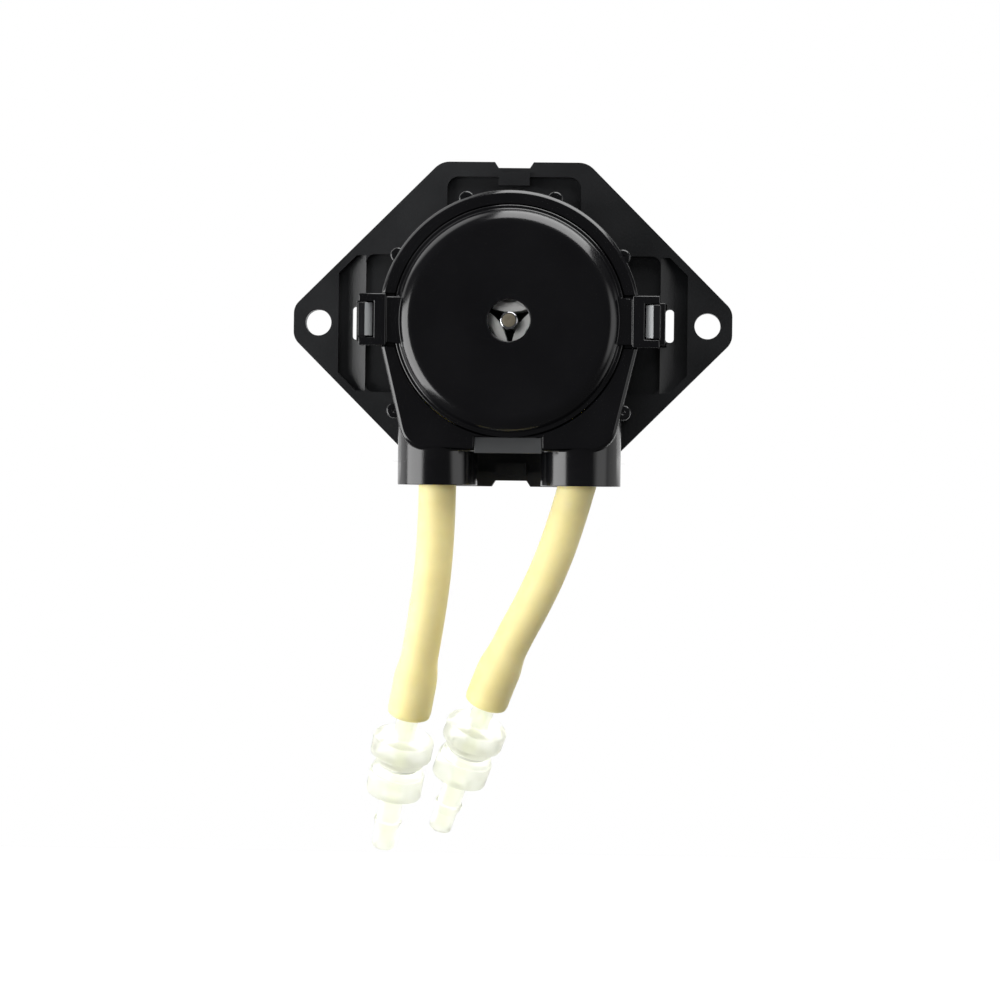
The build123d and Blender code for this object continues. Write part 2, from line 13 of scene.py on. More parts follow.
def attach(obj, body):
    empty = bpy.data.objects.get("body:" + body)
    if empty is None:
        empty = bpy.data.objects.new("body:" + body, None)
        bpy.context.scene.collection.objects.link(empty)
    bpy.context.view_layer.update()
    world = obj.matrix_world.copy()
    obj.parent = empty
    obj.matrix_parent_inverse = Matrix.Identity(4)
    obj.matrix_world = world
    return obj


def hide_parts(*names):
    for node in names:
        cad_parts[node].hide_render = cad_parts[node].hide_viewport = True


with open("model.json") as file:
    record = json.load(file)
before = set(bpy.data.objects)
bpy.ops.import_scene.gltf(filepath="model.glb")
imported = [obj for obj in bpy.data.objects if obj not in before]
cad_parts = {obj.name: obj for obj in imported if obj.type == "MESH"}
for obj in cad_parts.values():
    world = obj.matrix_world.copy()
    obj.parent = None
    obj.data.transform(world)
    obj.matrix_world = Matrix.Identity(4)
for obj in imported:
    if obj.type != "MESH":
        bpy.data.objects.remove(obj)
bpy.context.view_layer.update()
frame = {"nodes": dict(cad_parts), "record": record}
MM = 0.001

# %% [markdown]
# ## The camera
# The head is seen almost square on, from far away with a long lens, so that the plate's sides stay
# parallel. The camera stands a little to the right of the shaft, and looks at a point just under
# the sockets, near the middle of the whole object. A small roll is turned in last.

# %% Camera
look_at = Vector((-1.8, -3.0, -29.8)) * MM
camera_distance = 777.0 * MM
camera_azimuth = radians(2.24)
camera_roll = radians(0.66)
camera_data = bpy.data.cameras.new("camera")
camera_data.sensor_width = 36.0
camera_data.lens = 165.0
camera_data.clip_end = 20.0
camera = bpy.data.objects.new("camera", camera_data)
bpy.context.scene.collection.objects.link(camera)
backwards = Vector((sin(camera_azimuth), -cos(camera_azimuth), 0.0))
camera.rotation_mode = "QUATERNION"
turn = (-backwards).to_track_quat("-Z", "Y")
roll = Matrix.Rotation(camera_roll, 3, "Z").to_quaternion()
camera.rotation_quaternion = turn @ roll
camera.location = look_at + backwards * camera_distance
bpy.context.scene.camera = camera
bpy.context.scene.view_settings.view_transform = "Standard"
print("camera stands at, in mm", [round(v / MM, 1) for v in camera.location])

# %% [markdown]
# ## Helpers for materials
# A colour is written as the hex value that a screen shows, and turned to linear light once.
# One function adds a node with its settings and links, and every material is built with it.


# %% Material helpers
def linear(hex_colour):
    """An sRGB hex colour as linear red, green, blue and alpha."""
    channels = [int(hex_colour[i : i + 2], 16) / 255 for i in (1, 3, 5)]
    return [c / 12.92 if c <= 0.04045 else ((c + 0.055) / 1.055) ** 2.4 for c in channels] + [1.0]


def add(tree, kind, settings=None, **inputs):
    """Add a node, set its properties, and set or link its inputs.

    An input goes by its name, with _ for a space, or by its number after a _. The stops of a
    colour ramp are two pairs of a position and a hex colour.
    """
    node = tree.nodes.new(kind)
    for name, value in (settings or {}).items():
        if name == "stops":
            for element, (position, colour) in zip(node.color_ramp.elements, value):
                element.position = position
                element.color = linear(colour)
        else:
            setattr(node, name, value)
    for name, value in inputs.items():
        number = name[1:]
        socket = node.inputs[int(number) if number.isdigit() else name.replace("_", " ")]
        if isinstance(value, bpy.types.NodeSocket):
            tree.links.new(value, socket)
        else:
            socket.default_value = value
    return node


print("middle grey in linear light", round(linear("#808080")[0], 3))

# %% [markdown]
# A real surface is never one flat colour. Every material here drifts between two close colours,
# as the value of a noise texture goes from 0.3 to 0.7, which is where most of its values lie.

# %% New materials
noise_low, noise_high = 0.3, 0.7


def new_material(name):
    """An empty material, its node tree and its Principled shader."""
    material = bpy.data.materials.new(name)
    material.use_nodes = True
    tree = material.node_tree
    shader = tree.nodes["Principled BSDF"]
    return material, tree, shader


def colour_by(tree, shader, noise, low, high):
    """Let the base colour drift between two hex colours with a noise."""
    stops = [(noise_low, low), (noise_high, high)]
    colour = add(tree, "ShaderNodeValToRGB", {"stops": stops}, _0=noise.outputs["Fac"])
    tree.links.new(colour.outputs["Color"], shader.inputs["Base Color"])


print("colours drift as the noise goes from", noise_low, "to", noise_high)

# %% [markdown]
# ## Moulded plastics
# The plate is glass-filled nylon from a spark-eroded mould: deep black with a fine even grain that
# scatters light, so it looks charcoal. The ring and the cover are black ABS from a polished mould:
# nearly mirror smooth, with very faint waves where the wall shrank.
# A noise texture in object space gives the grain its real size, and edges carry no paint, so there
# is no wear to draw, only a slight polish in the roughness. Both plastics refract at about 1.53.

# %% Moulded plastic
plastic_ior = 1.53
cloud_size = 9.0 * MM
wave_depth = 0.012 * MM
roughness_spread = 0.1


def moulded(name, low, high, roughness, grain_mm, grain_depth_mm, wave_mm=None):
    """A moulded plastic: colour between two hex values, and a grain of a real size."""
    material, tree, shader = new_material(name)
    place = add(tree, "ShaderNodeTexCoord").outputs["Object"]
    grain = add(tree, "ShaderNodeTexNoise", Vector=place, Scale=1 / (grain_mm * MM), Detail=3.0)
    cloud = add(tree, "ShaderNodeTexNoise", Vector=place, Scale=1 / cloud_size, Detail=2.0)
    colour_by(tree, shader, cloud, low, high)
    spread = add(
        tree, "ShaderNodeMapRange", Value=cloud.outputs["Fac"],
        From_Min=noise_low, From_Max=noise_high,
        To_Min=roughness * (1 - roughness_spread), To_Max=roughness * (1 + roughness_spread),
    )
    tree.links.new(spread.outputs["Result"], shader.inputs["Roughness"])
    bump = add(
        tree, "ShaderNodeBump", Height=grain.outputs["Fac"], Strength=1.0,
        Distance=grain_depth_mm * MM,
    )
    if wave_mm:
        wave = add(tree, "ShaderNodeTexNoise", Vector=place, Scale=1 / (wave_mm * MM), Detail=0.0)
        bump = add(
            tree, "ShaderNodeBump", Height=wave.outputs["Fac"], Strength=1.0,
            Distance=wave_depth, Normal=bump.outputs["Normal"],
        )
    tree.links.new(bump.outputs["Normal"], shader.inputs["Normal"])
    shader.inputs["IOR"].default_value = plastic_ior
    print(name, "roughness", roughness, "grain in mm", grain_mm)
    return material


# %% [markdown]
# The rollers are white acetal. They lie deep in a dark hole, and their colour is close to pure
# white so that they still read as white there. The panel's grey is a painted reflection of the
# light from above, and the pale hook slopes are a painted highlight.

# %% Plastic finishes
plate_nylon = moulded("grained_black_nylon", "#0F1012", "#141517", 0.46, 0.35, 0.016)
polished_abs = moulded("polished_black_abs", "#08080A", "#0C0C0E", 0.17, 0.5, 0.0008, wave_mm=14.0)
satin_abs = moulded("satin_black_abs", "#0D0D0F", "#121214", 0.30, 0.3, 0.004)
# The panel's grey is a painted reflection of the light from above.
panel_painted_reflection = moulded("grey_panel_painted_reflection", "#3E3F40", "#464748", 0.4, 0.3, 0.006)
# A painted highlight: the pale colour of the hook slopes stands for a reflection.
hook_slope_painted_highlight = moulded("hook_slope_painted_highlight", "#85878A", "#8D8F8F", 0.35, 0.3, 0.004)
inner_nylon = moulded("plain_black_nylon", "#17181A", "#1D1E20", 0.5, 0.4, 0.01)
white_acetal = moulded("turned_white_acetal", "#F6F6F3", "#FBFBF9", 0.38, 0.3, 0.004)
white_rubber = moulded("white_gasket_rubber", "#D9D9D2", "#E2E2DC", 0.6, 0.5, 0.01)

# %% [markdown]
# ## Metals
# The shaft is ground steel: a mirror with fine rings round it from the wheel. Its end is faced on
# a lathe, and duller. The bushes are sintered bronze: dull, with pores about a fifth of a
# millimetre wide. A metal has no colour under its shine: the base colour is that of the mirror.


# %% Metals
def metal(name, low, high, roughness, grain_mm, grain_depth_mm, stretch):
    """A bare metal with a grain that can be drawn out along an axis."""
    material, tree, shader = new_material(name)
    place = add(tree, "ShaderNodeTexCoord").outputs["Object"]
    drawn = add(tree, "ShaderNodeMapping", Vector=place, Scale=stretch)
    grain = add(
        tree, "ShaderNodeTexNoise", Vector=drawn.outputs["Vector"],
        Scale=1 / (grain_mm * MM), Detail=4.0,
    )
    colour_by(tree, shader, grain, low, high)
    shader.inputs["Metallic"].default_value = 1.0
    shader.inputs["Roughness"].default_value = roughness
    bump = add(
        tree, "ShaderNodeBump", Height=grain.outputs["Fac"], Distance=grain_depth_mm * MM
    )
    tree.links.new(bump.outputs["Normal"], shader.inputs["Normal"])
    print(name, "roughness", roughness, "grain in mm", grain_mm)
    return material


ground_steel = metal("ground_steel", "#C4C5C8", "#DADBDD", 0.16, 0.12, 0.002, (1.0, 8.0, 1.0))
faced_steel = metal("faced_steel", "#8A8272", "#968D7C", 0.55, 0.12, 0.004, (1.0, 1.0, 1.0))
sintered_bronze = metal("sintered_bronze", "#8A6A3C", "#A98550", 0.42, 0.2, 0.01, (1.0, 1.0, 1.0))

# %% [markdown]
# ## Pump hose
# Pump hose is a thermoplastic rubber, extruded: cream, matt, and a little translucent, so light
# that enters on one side warms the other. Subsurface scattering over about two millimetres does
# that. Handling leaves the hose slightly cloudy, and its skin has a fine uneven grain.

# %% Pump hose material
cream_hose, tree, shader = new_material("cream_pump_hose")
place = add(tree, "ShaderNodeTexCoord").outputs["Object"]
cloud = add(tree, "ShaderNodeTexNoise", Vector=place, Scale=1 / (4.0 * MM), Detail=3.0)
speck = add(tree, "ShaderNodeTexNoise", Vector=place, Scale=1 / (0.4 * MM), Detail=2.0)
colour_by(tree, shader, cloud, "#EADD9E", "#EFE3A8")
bump = add(tree, "ShaderNodeBump", Height=speck.outputs["Fac"], Distance=0.006 * MM)
tree.links.new(bump.outputs["Normal"], shader.inputs["Normal"])
shader.inputs["Roughness"].default_value = 0.55
shader.inputs["IOR"].default_value = 1.5
shader.inputs["Subsurface Weight"].default_value = 0.7
shader.inputs["Subsurface Radius"].default_value = (1.0, 0.92, 0.5)
shader.inputs["Subsurface Scale"].default_value = 2.2 * MM
print(cream_hose.name, "nodes", len(tree.nodes))

# %% [markdown]
# ## Coupling plastic
# The couplings are natural polypropylene: milky and half clear, with a soft gloss. Part of the
# light goes straight through, and the rest is scattered inside, so thick places look whiter.
# Polypropylene refracts at about 1.49. The value here is far lower, because thin milky pieces
# nearly vanish in front of white, and a solid shape that refracts fully would draw dark lines.

# %% Coupling material
milky_polypropylene, tree, shader = new_material("milky_polypropylene")
place = add(tree, "ShaderNodeTexCoord").outputs["Object"]
cloud = add(tree, "ShaderNodeTexNoise", Vector=place, Scale=1 / (2.5 * MM), Detail=2.0)
colour_by(tree, shader, cloud, "#F6F8EA", "#FAFBF1")
bump = add(tree, "ShaderNodeBump", Height=cloud.outputs["Fac"], Distance=0.02 * MM)
tree.links.new(bump.outputs["Normal"], shader.inputs["Normal"])
shader.inputs["Roughness"].default_value = 0.4
shader.inputs["IOR"].default_value = 1.18
shader.inputs["Transmission Weight"].default_value = 0.9
shader.inputs["Subsurface Weight"].default_value = 0.4
shader.inputs["Subsurface Radius"].default_value = (1.0, 1.0, 0.9)
shader.inputs["Subsurface Scale"].default_value = 1.5 * MM
print(milky_polypropylene.name, "nodes", len(tree.nodes))

# %% [markdown]
# ## Hose legs
# Each leg leaves its socket, hangs, and leans to the left. Its line is one smooth spline that a few
# points pull into shape, so it has no kinks between them.

# %% Hose line
inlet_route = [
    (-12.0, -11.4, -25.2),
    (-12.0, -11.4, -36.6),
    (-13.9, -9.6, -52.0),
    (-16.8, -4.0, -66.1),
]
outlet_route = [
    (12.0, -11.4, -25.2),
    (9.6, -11.4, -34.2),
    (5.6, -10.4, -44.6),
    (-0.9, -7.6, -56.4),
    (-3.7, -4.3, -64.0),
]


def smooth_line(name, route):
    """The points of a smooth spline that is pulled towards the route's points."""
    curve = bpy.data.curves.new(name, "CURVE")
    curve.dimensions = "3D"
    curve.resolution_u = 24
    spline = curve.splines.new("NURBS")
    spline.points.add(len(route) - 1)
    for point, place in zip(spline.points, route):
        point.co = [value * MM for value in place] + [1.0]
    spline.order_u = 3
    spline.use_endpoint_u = True
    line = bpy.data.objects.new(name, curve)
    mesh = bpy.data.meshes.new_from_object(line)
    points = [vertex.co.copy() for vertex in mesh.vertices]
    bpy.data.objects.remove(line)
    bpy.data.meshes.remove(mesh)
    length = sum((after - before).length for before, after in zip(points, points[1:]))
    print(name, "points", len(points), "length in mm", round(length / MM, 2))
    return points


# %% [markdown]
# A tube is laid round that line, ring by ring. Near its end it swells over the barb inside it. The
# last rings turn in over the cut face and back up the bore, so that the wall shows round the
# coupling's stem.

# %% Hose sizes and the last step of every mesh
hose_radius = 3.15
hose_bore = 1.55
swollen_radius = 3.7
swell_start, swell_end = 11.0, 6.0
lip_length, lip_drop = 0.3, 0.12
face_bulge = 0.04
outer_rounding = 0.3
bore_rounding, bore_rounding_depth = 0.2, 0.1
open_bore_depth = 3.0


def finished(name, mesh):
    """An object from a mesh that has been put together, with its faces turned outwards."""
    bmesh.ops.recalc_face_normals(mesh, faces=mesh.faces)
    data = bpy.data.meshes.new(name)
    mesh.to_mesh(data)
    mesh.free()
    return bpy.data.objects.new(name, data)


print("hose wall in mm", round(hose_radius - hose_bore, 2))


# %% Hose tube
def hose_leg(name, points, segments=64):
    """A tube round a line of points, with a swollen end and a wall that shows at its cut face."""
    reached = [0.0]
    for before, after in zip(points, points[1:]):
        reached.append(reached[-1] + (after - before).length)
    mesh = bmesh.new()
    angles = [2 * pi * step / segments for step in range(segments)]
    rows = []
    across = None

    def row(centre, along, radius):
        nonlocal across
        if across is None:
            across = along.orthogonal().normalized()
        else:
            across = (across - along * across.dot(along)).normalized()
        third = along.cross(across)
        rows.append(
            [mesh.verts.new(centre + (across * cos(a) + third * sin(a)) * radius * MM) for a in angles]
        )

    for i, centre in enumerate(points):
        along = (points[min(i + 1, len(points) - 1)] - points[max(i - 1, 0)]).normalized()
        left = (reached[-1] - reached[i]) / MM
        t = min(max((swell_start - left) / (swell_start - swell_end), 0.0), 1.0)
        swell = t * t * (3 - 2 * t) * (swollen_radius - hose_radius)
        if left < lip_length:
            swell -= lip_drop
        row(centre, along, hose_radius + swell)
    end, along = points[-1], (points[-1] - points[-2]).normalized()
    for shift, radius in (
        (face_bulge, swollen_radius - outer_rounding),
        (face_bulge, hose_bore + bore_rounding),
        (-bore_rounding_depth, hose_bore),
        (-open_bore_depth, hose_bore),
    ):
        row(end + along * shift * MM, along, radius)
    for first, second in zip(rows, rows[1:]):
        for i in range(segments):
            j = (i + 1) % segments
            mesh.faces.new((first[i], first[j], second[j], second[i]))
    mesh.faces.new(list(reversed(rows[0])))
    mesh.faces.new(rows[-1])
    leg = finished(name, mesh)
    leg.data.shade_smooth()
    print(name, "faces", len(leg.data.polygons))
    return leg


# %% [markdown]
# ## Turned shapes
# A turned shape is drawn as half of its outline and spun about its axis. Its corners are rounded in
# the outline first, which is cheaper and cleaner than rounding the finished mesh.


# %% Turning
def spun(name, outline, start, direction, segments=96):
    """A closed outline of (distance along the axis, radius) points in mm, spun about an axis."""
    along = Vector(direction).normalized()
    across = along.orthogonal().normalized()
    third = along.cross(across)
    mesh = bmesh.new()
    rows = []
    for step in range(segments):
        angle = 2 * pi * step / segments
        outwards = across * cos(angle) + third * sin(angle)
        rows.append([mesh.verts.new(Vector(start) + (along * s + outwards * r) * MM) for s, r in outline])
    count = len(outline)
    for row, next_row in zip(rows, rows[1:] + rows[:1]):
        for i in range(count):
            j = (i + 1) % count
            mesh.faces.new((row[i], row[j], next_row[j], next_row[i]))
    piece = finished(name, mesh)
    piece.data.shade_smooth()
    print(name, "faces", len(piece.data.polygons))
    return piece


# %% Rounding
def rounded(outline, radius, steps=4):
    """The same closed outline with an arc of this radius, or less, at each corner."""
    longest_share = 0.45  # no arc takes more than this share of a side
    result = []
    count = len(outline)
    for i, corner in enumerate(outline):
        here = Vector(corner)
        before = Vector(outline[i - 1]) - here
        after = Vector(outline[(i + 1) % count]) - here
        half = before.angle(after) / 2
        shorter = min(before.length, after.length)
        reach = min(radius / max(tan(half), 1e-6), longest_share * shorter)
        first = here + before.normalized() * reach
        last = here + after.normalized() * reach
        for step in range(steps + 1):
            t = step / steps
            result.append(tuple(first.lerp(here, t).lerp(here.lerp(last, t), t)))
    return result


square = [(0.0, 0.0), (0.0, 1.0), (1.0, 1.0), (1.0, 0.0)]
print("a rounded square has", len(rounded(square, 0.2)), "points")

# %% [markdown]
# ## Couplings
# Each coupling is turned from one axis: a stem that goes up into the hose, two collars that meet
# at a gasket, and a tail with one barb for the next hose.

# %% Coupling outlines
bore = 1.0
stem, collar, skirt, gasket_thick, neck, ring, tail, barb = 4.6, 3.3, 1.5, 0.7, 1.0, 4.0, 5.0, 5.3
barb_grip = 8.0
barb_slope = 1.8
stem_radius, collar_radius, skirt_radius, gasket_radius = 1.85, 5.2, 4.1, 3.4
neck_radius, ring_radius, tail_radius, barb_radius = 4.3, 4.7, 1.9, 2.45
collar_end = stem + collar
skirt_end = collar_end + skirt
neck_start = skirt_end + gasket_thick
ring_start = neck_start + neck
ring_end = ring_start + ring
barb_start = ring_end + tail
tip = barb_start + barb
upper_outline = [
    (-barb_grip, bore), (-barb_grip, hose_bore), (0.0, hose_bore), (0.0, stem_radius),
    (stem, stem_radius), (stem, collar_radius), (collar_end, collar_radius),
    (collar_end, skirt_radius), (skirt_end, skirt_radius), (skirt_end, bore),
]
gasket_outline = [
    (skirt_end, bore), (skirt_end, gasket_radius), (neck_start, gasket_radius), (neck_start, bore),
]
lower_outline = [
    (neck_start, bore), (neck_start, neck_radius), (ring_start, neck_radius),
    (ring_start, ring_radius), (ring_end, ring_radius), (ring_end, tail_radius),
    (barb_start, tail_radius), (barb_start, barb_radius), (barb_start + barb_slope, tail_radius),
    (tip, tail_radius), (tip, bore),
]
print("length of a coupling below its hose, in mm", round(tip, 1))

# %% [markdown]
# Each finished piece rides on a body of the model and stands in for the plain node of the same
# name. The lower half of a coupling is a body of its own, because the halves twist apart.


# %% Couplings and hose legs
def link(mesh_object, material, body):
    """Put a piece in the scene with its material, on a body of the model."""
    bpy.context.scene.collection.objects.link(mesh_object)
    mesh_object.data.materials.clear()
    mesh_object.data.materials.append(material)
    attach(mesh_object, body)
    return mesh_object


coupling_edge_radius = 0.35
for side, route, leg_length in (("inlet", inlet_route, 42.3), ("outlet", outlet_route, 42.9)):
    end = Vector(route[-1])
    direction = end - Vector(route[-2])
    outlines = {"upper": upper_outline, "gasket": gasket_outline, "lower": lower_outline}
    for part, outline in outlines.items():
        soft_outline = rounded(outline, coupling_edge_radius)
        piece = spun(f"{side}_coupling_{part}_turned", soft_outline, end * MM, direction)
        finish = white_rubber if part == "gasket" else milky_polypropylene
        body = f"{side}_half" if part == "lower" else "head"
        link(piece, finish, body)
        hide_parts(f"{side}_coupling_{part}")
    line = smooth_line(f"{side}_line", route)
    leg = link(hose_leg(f"{side}_hose", line), cream_hose, "head")
    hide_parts(f"{side}_tube")

# %% [markdown]
# ## Moulded blocks
# A moulded block comes from the model's own mesh. Its flat faces are joined back into whole faces,
# and every sharp edge gets the small radius that a mould leaves, which is what catches the light.
# The bevel can be held back where edges lie close together. Here that would leave most edges
# sharp, so it is off, except on the plate, whose channels end in corners that need it. The cover's
# round parts are narrow strips, so only its edges over 60 degrees count as sharp.

# %% Edge radius
weld_distance = 0.0005 * MM
flat_angle = radians(0.5)
edge_angle, cover_edge_angle = radians(32), radians(60)
crease_angle = radians(30)
level_tolerance = 0.01
flat_face_weight = 80


def edged(name, node, width_mm, segments=3, front_level=None):
    """A copy of a node's mesh with whole flat faces and a small radius on every sharp edge.

    With a front level, only the edges that lie at that level get the radius.
    """
    data = frame["nodes"][node].data.copy()
    data.name = name
    mesh = bmesh.new()
    mesh.from_mesh(data)
    bmesh.ops.remove_doubles(mesh, verts=mesh.verts, dist=weld_distance)
    bmesh.ops.dissolve_limit(
        mesh, angle_limit=flat_angle, verts=mesh.verts, edges=mesh.edges, delimit={"NORMAL"}
    )
    if front_level is not None:
        weight = mesh.edges.layers.float.new("bevel_weight_edge")
        for edge in mesh.edges:
            at_front = all(vert.co.y < (level_tolerance - front_level) * MM for vert in edge.verts)
            edge[weight] = 1.0 if at_front else 0.0
    mesh.to_mesh(data)
    mesh.free()
    if "custom_normal" in data.attributes:
        data.attributes.remove(data.attributes["custom_normal"])
    data.shade_smooth()
    piece = bpy.data.objects.new(name, data)
    bevel = piece.modifiers.new("edge_radius", "BEVEL")
    bevel.width = width_mm * MM
    bevel.segments = segments
    bevel.limit_method = "ANGLE" if front_level is None else "WEIGHT"
    bevel.angle_limit = cover_edge_angle if node == "front_cover" else edge_angle
    bevel.use_clamp_overlap = node == "base_plate"
    weighting = piece.modifiers.new("flat_faces", "WEIGHTED_NORMAL")
    weighting.weight = flat_face_weight
    if front_level is not None:
        data.set_sharp_from_angle(angle=crease_angle)
        weighting.keep_sharp = True
    print(name, "faces before the radius", len(data.polygons))
    return piece


# %% [markdown]
# ## Plate, ring, cover and latch arms
# They keep the model's shape and get their edge radii, in millimetres. A large crisp plate has the
# largest radius, and the thin arms and the ring the smallest.

# %% Moulded pieces
edge_radii = {
    "base_plate": (0.25, plate_nylon, "base", "plate_plastic"),
    "housing": (0.15, polished_abs, "head", "housing_plastic"),
    "back_cover": (0.15, polished_abs, "head", "housing_plastic"),
    "front_cover": (0.2, polished_abs, "cover", "cover_plastic"),
    "latch_arm_left": (0.15, satin_abs, "latch_left", "plate_plastic"),
    "latch_arm_right": (0.15, satin_abs, "latch_right", "plate_plastic"),
}
moulded_pieces = {}
for node, (width, finish, body, slot) in edge_radii.items():
    piece = link(edged(f"{node}_moulded", node, width), finish, body)
    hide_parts(node)
    moulded_pieces[node] = piece

# %% [markdown]
# ## Hook slopes
# When the cover snaps on, its ears slide over the slope of each latch hook. Those faces are much
# brighter than the rest of the arm, most likely from a reflection. Here that is a painted
# highlight: the slope faces get a pale material.

# %% Hook slopes
slope_facing = 0.3
for side, inwards in (("left", 1), ("right", -1)):
    data = moulded_pieces[f"latch_arm_{side}"].data
    # The slope faces get the pale material, a painted highlight that stands for a reflection.
    data.materials.append(hook_slope_painted_highlight)
    slopes = [
        face for face in data.polygons
        if face.normal.y < -slope_facing and face.normal.x * inwards > slope_facing
    ]
    for face in slopes:
        face.material_index = 1
    print(side, "hook, faces with painted highlight", len(slopes))

# %% [markdown]
# ## Pin heads and the cover's rim
# The case is held by six pins with domed heads, each with a small dimple: four on the ring, and two
# lower down, a little further out. The rim of the cover is turned as a fine ring, because its small
# radius draws one unbroken line of light, which a coarse mesh would break up.

# %% Pin heads and rim
pin_circles = (
    (21.6, (30.0, 70.0, 110.0, 150.0)),
    (24.3, (-38.3, -141.7)),
)
pin_places = [
    (radius * cos(radians(angle)), radius * sin(radians(angle)))
    for radius, angles in pin_circles
    for angle in angles
]
pin_top_level = 16.55
pin_outline = rounded(
    [(0.0, 0.0), (0.0, 1.28), (0.95, 1.28), (0.95, 0.4), (0.85, 0.3), (0.85, 0.0)], 0.5, 6
)
for number, (x, z) in enumerate(pin_places, start=1):
    start = Vector((x, -pin_top_level, z)) * MM
    cap = spun(f"case_pin_head_{number}", pin_outline, start, (0, -1, 0), 40)
    link(cap, polished_abs, "head")

rim_outline = rounded([(18.0, 18.7), (18.0, 19.31), (18.71, 19.31), (18.71, 18.7)], 0.3, 6)
rim = spun("cover_rim", rim_outline, (0.0, 0.0, 0.0), (0, -1, 0), 240)
link(rim, polished_abs, "cover")

# %% [markdown]
# ## Window panel
# A paler panel fills the window under the cover. Its grey is a painted reflection of the light
# from above. Its outline, as pairs of level and height, is drawn out across the window, and its
# edges are rounded by a tenth of a millimetre.

# %% Window panel
panel_outline = [(16.85, -19.4), (17.75, -19.4), (18.19, -22.0), (18.05, -22.05)]
panel_half_width = 5.6
panel_edge_radius = 0.1
mesh = bmesh.new()
left_end, right_end = (
    [mesh.verts.new(Vector((x, -level, z)) * MM) for level, z in panel_outline]
    for x in (-panel_half_width, panel_half_width)
)
mesh.faces.new(left_end)
mesh.faces.new(list(reversed(right_end)))
corner_count = len(panel_outline)
for i in range(corner_count):
    j = (i + 1) % corner_count
    mesh.faces.new((left_end[j], left_end[i], right_end[i], right_end[j]))
bmesh.ops.recalc_face_normals(mesh, faces=mesh.faces)
bmesh.ops.bevel(
    mesh, geom=mesh.edges[:], offset=panel_edge_radius * MM, segments=2, profile=0.5,
    affect="EDGES", clamp_overlap=True,
)
# The panel's grey is a painted reflection of the light from above.
panel = link(finished("window_panel", mesh), panel_painted_reflection, "head")
print("window panel, faces", len(panel.data.polygons))

# %% [markdown]
# ## Shaft
# The shaft's front end is turned: a bright rounded edge round a duller face. The model's shaft is
# cut back at its rim, and a fine turned end, wider by a hair, lies over it.

# %% Shaft
shaft_front_level = 20.4
tip_length, tip_radius, tip_rounding = 3.0, 1.505, 0.35
tip_start = Vector((0, tip_length - shaft_front_level, 0)) * MM
tip_outline = rounded(
    [(0.0, 0.0), (0.0, tip_radius), (tip_length, tip_radius), (tip_length, 0.0)], tip_rounding, 6
)
shaft_tip = spun("shaft_tip", tip_outline, tip_start, (0, -1, 0), 96)
link(shaft_tip, ground_steel, "shaft")
shaft = edged("drive_shaft_ground", "drive_shaft", 0.6, 5, front_level=shaft_front_level)
link(shaft, ground_steel, "shaft")
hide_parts("drive_shaft")

face_radius, face_thickness, face_sunk = 1.12, 0.03, 0.005
face_start = Vector((0, face_sunk - shaft_front_level, 0)) * MM
face_outline = rounded(
    [(0.0, 0.0), (0.0, face_radius), (face_thickness, face_radius), (face_thickness, 0.0)], 0.01, 2
)
shaft_face = spun("shaft_end_face", face_outline, face_start, (0, -1, 0), 64)
link(shaft_face, faced_steel, "shaft")

# %% [markdown]
# ## Pieces that keep the model's mesh
# The rotor, the rollers, the bushes, the rings on the shaft, the pins and the hose in the track are
# already the right shape. They get a finish each.

# %% Finishes by slot
finish_of_slot = {
    "plate_plastic": plate_nylon, "housing_plastic": polished_abs, "cover_plastic": polished_abs,
    "pin_plastic": satin_abs, "stop_plastic": inner_nylon, "rotor_plastic": inner_nylon,
    "roller_plastic": white_acetal, "shaft_steel": ground_steel, "bronze": sintered_bronze,
    "tube": cream_hose, "coupling_plastic": milky_polypropylene, "gasket": white_rubber,
}
for entry in frame["record"]["subparts"]:
    node = frame["nodes"][entry["node"]]
    node.data.materials.clear()
    node.data.materials.append(finish_of_slot[entry["material_slot"]])

# %% [markdown]
# ## Floor
# A pale floor lies lower than the head, and starts 15 cm behind it, so that the cover's lower edge,
# which would mirror it, stays dark. It glows faintly where the camera sees it, so that it melts
# into the white behind it.

# %% Floor
floor_z = -0.16
floor_half = 0.9
floor_front = 0.15
floor_glow = 0.45
floor_mesh = bpy.data.meshes.new("floor")
corners = [
    (-floor_half, floor_front), (floor_half, floor_front),
    (floor_half, floor_half), (-floor_half, floor_half),
]
floor_mesh.from_pydata([(x, y, floor_z) for x, y in corners], [], [(0, 1, 2, 3)])
floor = bpy.data.objects.new("floor", floor_mesh)
bpy.context.scene.collection.objects.link(floor)
floor_material, tree, shader = new_material("pale_floor")
shader.inputs["Base Color"].default_value = linear("#F4F4F4")
shader.inputs["Roughness"].default_value = 0.9
path = add(tree, "ShaderNodeLightPath")
seen = add(
    tree, "ShaderNodeMath", {"operation": "MAXIMUM"}, _0=path.outputs["Is Camera Ray"],
    _1=path.outputs["Is Transmission Ray"],
)
glow = add(tree, "ShaderNodeMath", {"operation": "MULTIPLY"}, _0=seen.outputs[0], _1=floor_glow)
shader.inputs["Emission Color"].default_value = (1.0, 1.0, 1.0, 1.0)
tree.links.new(glow.outputs[0], shader.inputs["Emission Strength"])
floor.data.materials.append(floor_material)
print("floor corners in m", corners)

# %% [markdown]
# ## Surroundings
# The surroundings are white where the camera looks, so the head stands free. In reflections they
# are white behind and at the sides, and dark where the camera stands, as in a light tent. That
# keeps the polished front black and lines its edges with light. The tent is a sum of soft round
# patches, each placed by its direction from the head.

# %% Patches of light
world = bpy.data.worlds.new("studio")
bpy.context.scene.world = world
world.use_nodes = True
tree = world.node_tree
tree.nodes.clear()
path = add(tree, "ShaderNodeLightPath")
direction = add(tree, "ShaderNodeTexCoord").outputs["Generated"]


def towards(azimuth, off_axis):
    """The direction at an angle round the shaft, 0 at the right and 90 at the top, and off its axis."""
    around, off = radians(azimuth), radians(off_axis)
    return Vector((sin(off) * cos(around), -cos(off), sin(off) * sin(around)))


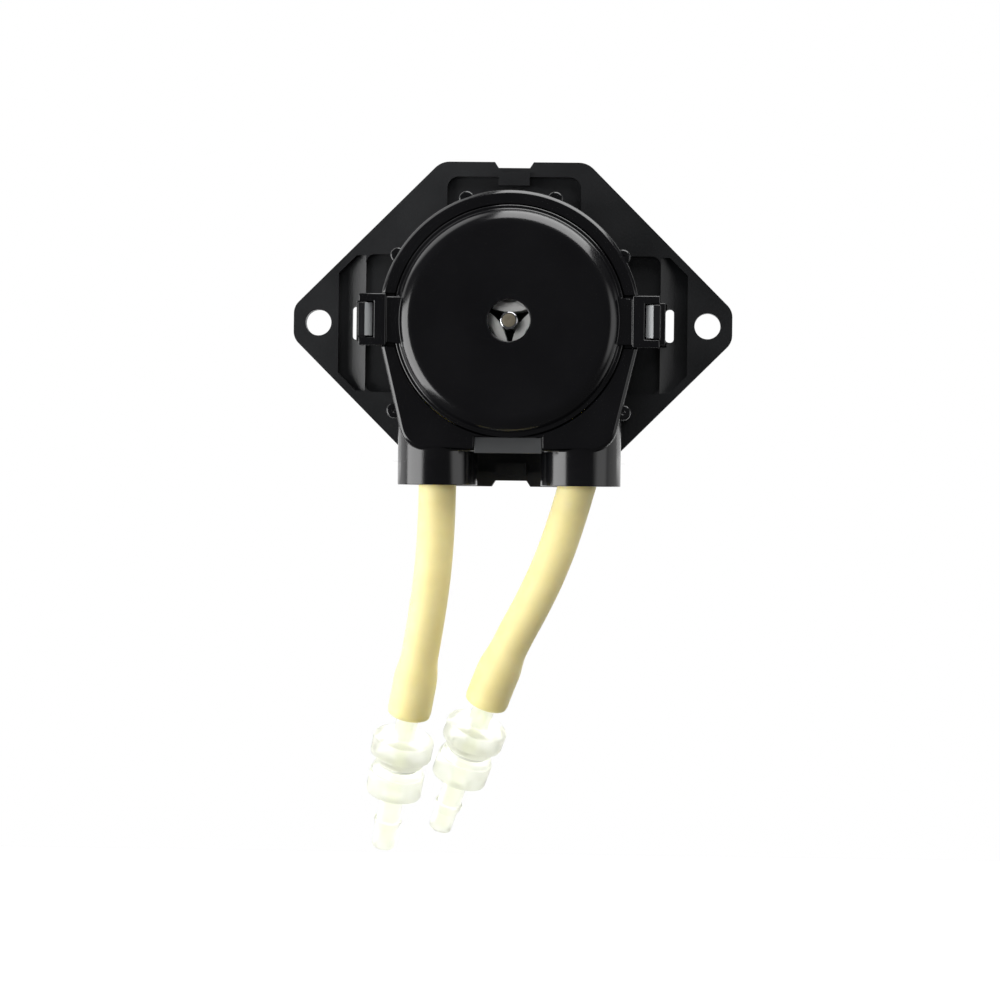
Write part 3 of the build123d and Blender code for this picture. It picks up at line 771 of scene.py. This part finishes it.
def patch(azimuth, off_axis, inner, outer, strength):
    """A round patch of light on the tent's wall, with a soft rim from inner to outer degrees."""
    facing = add(
        tree, "ShaderNodeVectorMath", {"operation": "DOT_PRODUCT"}, _0=direction,
        _1=towards(azimuth, off_axis),
    )
    rim = add(
        tree, "ShaderNodeMapRange", {"interpolation_type": "SMOOTHSTEP"}, Value=facing.outputs["Value"],
        From_Min=cos(radians(outer)), From_Max=cos(radians(inner)), To_Min=0.0, To_Max=strength,
    )
    return rim.outputs["Result"]


print("straight ahead of the head is", [round(v, 2) for v in towards(0, 0)])

# %% Tent
tent_base = 0.07
patches = [
    patch(0, 180, 35, 65, 1.0),
    patch(128, 100, 14, 30, 1.7),
    patch(165, 112, 12, 26, 1.2),
    patch(0, 62, 10, 24, 1.4),
    patch(-8, 105, 12, 30, 0.7),
]
tent = patches[0]
for value in patches[1:] + [tent_base]:
    tent = add(tree, "ShaderNodeMath", {"operation": "ADD"}, _0=tent, _1=value).outputs[0]
seen = add(
    tree, "ShaderNodeMath", {"operation": "MAXIMUM"}, _0=path.outputs["Is Camera Ray"],
    _1=path.outputs["Is Transmission Ray"],
)
strength = add(tree, "ShaderNodeMix", _0=seen.outputs[0], _2=tent, _3=1.0)
background = add(tree, "ShaderNodeBackground", Color=(1.0, 1.0, 1.0, 1.0), Strength=strength.outputs[0])
add(tree, "ShaderNodeOutputWorld", Surface=background.outputs[0])
print("patches of light", len(patches), "base level", tent_base)

# %% [markdown]
# ## Lamps
# A tall softbox on the left does most of the work, and shades the hoses from left to right. A
# second one above, a little to the right, draws the bright arc on the cover's edge. A small lamp
# near the camera reaches the rollers through the cover's hole. It isn't seen in reflections, so
# the cover stays black.


# %% Lamps
def softbox(name, azimuth, off_axis, span_around, span_off, brightness, distance=1.0):
    """A rectangular lamp that faces the head and spans these angles as seen from it."""
    data = bpy.data.lights.new(name, "AREA")
    data.shape = "RECTANGLE"
    data.size = 2 * distance * tan(radians(span_around / 2))
    data.size_y = 2 * distance * tan(radians(span_off / 2))
    data.energy = brightness * pi * data.size * data.size_y
    lamp = bpy.data.objects.new(name, data)
    outwards = towards(azimuth, off_axis)
    around = Vector((-sin(radians(azimuth)), 0.0, cos(radians(azimuth))))
    up = outwards.cross(around)
    lamp.matrix_world = Matrix((
        (around.x, up.x, outwards.x, outwards.x * distance),
        (around.y, up.y, outwards.y, outwards.y * distance),
        (around.z, up.z, outwards.z, outwards.z * distance),
        (0, 0, 0, 1),
    ))
    bpy.context.scene.collection.objects.link(lamp)
    print(name, "watts", round(data.energy, 1))
    return lamp


softbox("left_softbox", 194, 68, 46, 53, 5.5)
softbox("top_softbox", 71.5, 80, 53, 60, 5.5)
front_fill = softbox("front_fill", 150, 14, 16, 16, 11.0)
front_fill.visible_glossy = False
